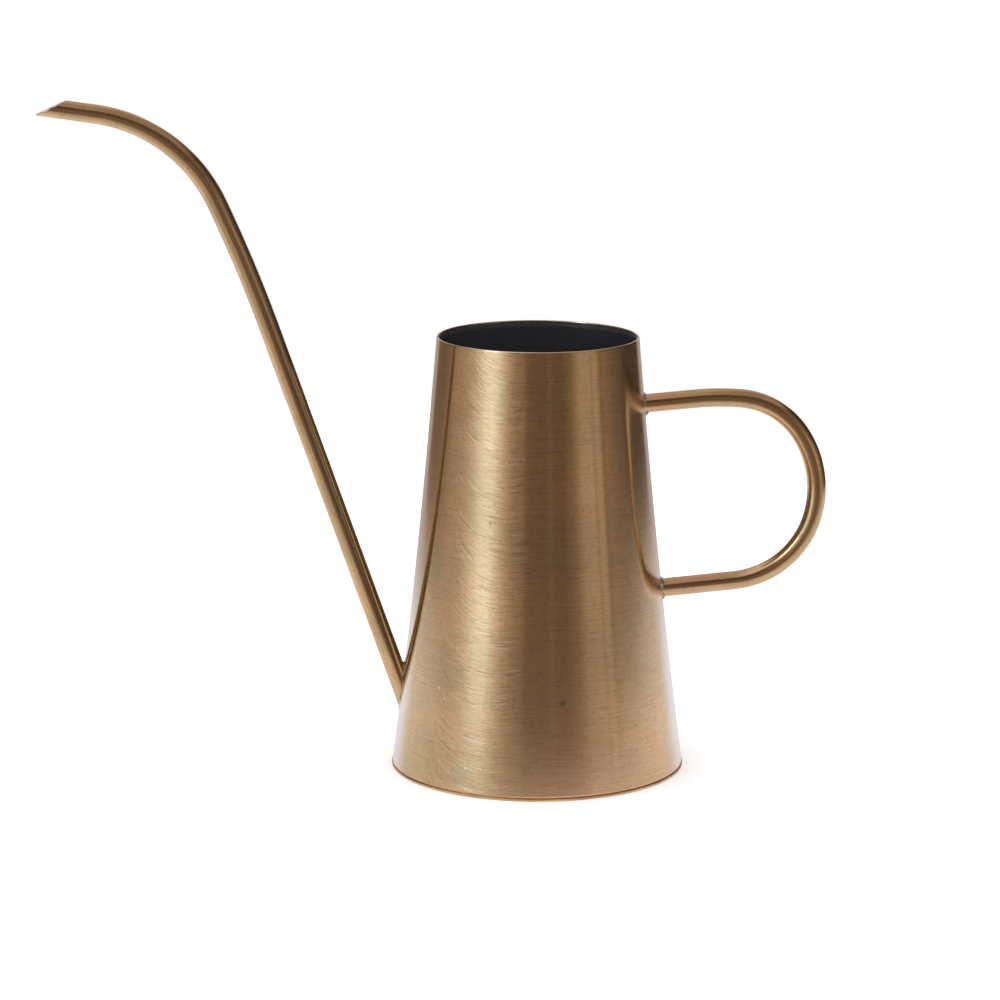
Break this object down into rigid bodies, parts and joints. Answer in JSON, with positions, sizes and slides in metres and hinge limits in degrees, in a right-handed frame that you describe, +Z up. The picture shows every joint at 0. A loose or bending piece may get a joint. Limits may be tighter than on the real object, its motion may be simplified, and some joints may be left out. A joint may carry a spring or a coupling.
{
  "type": "watering can",
  "caption": "Indoor watering can: a tapered open sheet-metal body with a long thin spout that bends over at its tip, and a looped tube handle on the opposite side.",
  "frame": {"origin": "centre of the base, on the surface that the can stands on", "axes": "+Z up, spout points to -X, handle to +X, the can mirrors about the XZ plane"},
  "size_m": [0.3426, 0.129, 0.2939],
  "materials": {
    "body_brass": "aged brass sheet, brushed round the body, with hand-sanded arcs and fine scratches",
    "base_brass": "brass disc with a bare coppery edge",
    "spout_brass": "aged brass tube, satin, drawn lengthwise",
    "handle_brass": "aged brass tube, satin, coppery near the brazed joints",
    "silver_braze": "lumpy silver braze, slightly tarnished green",
    "black_lining": "flat charcoal-black baked lining"
  },
  "bodies": {
    "root": {"body_wall": "body_brass", "wall_seam_braze": "silver_braze", "base_plate": "base_brass", "base_braze": "silver_braze", "inner_lining": "black_lining", "spout_tube": "spout_brass", "spout_braze": "silver_braze", "handle_tube": "handle_brass", "handle_upper_braze": "silver_braze", "handle_lower_braze": "silver_braze"}
  },
  "joints": []
}
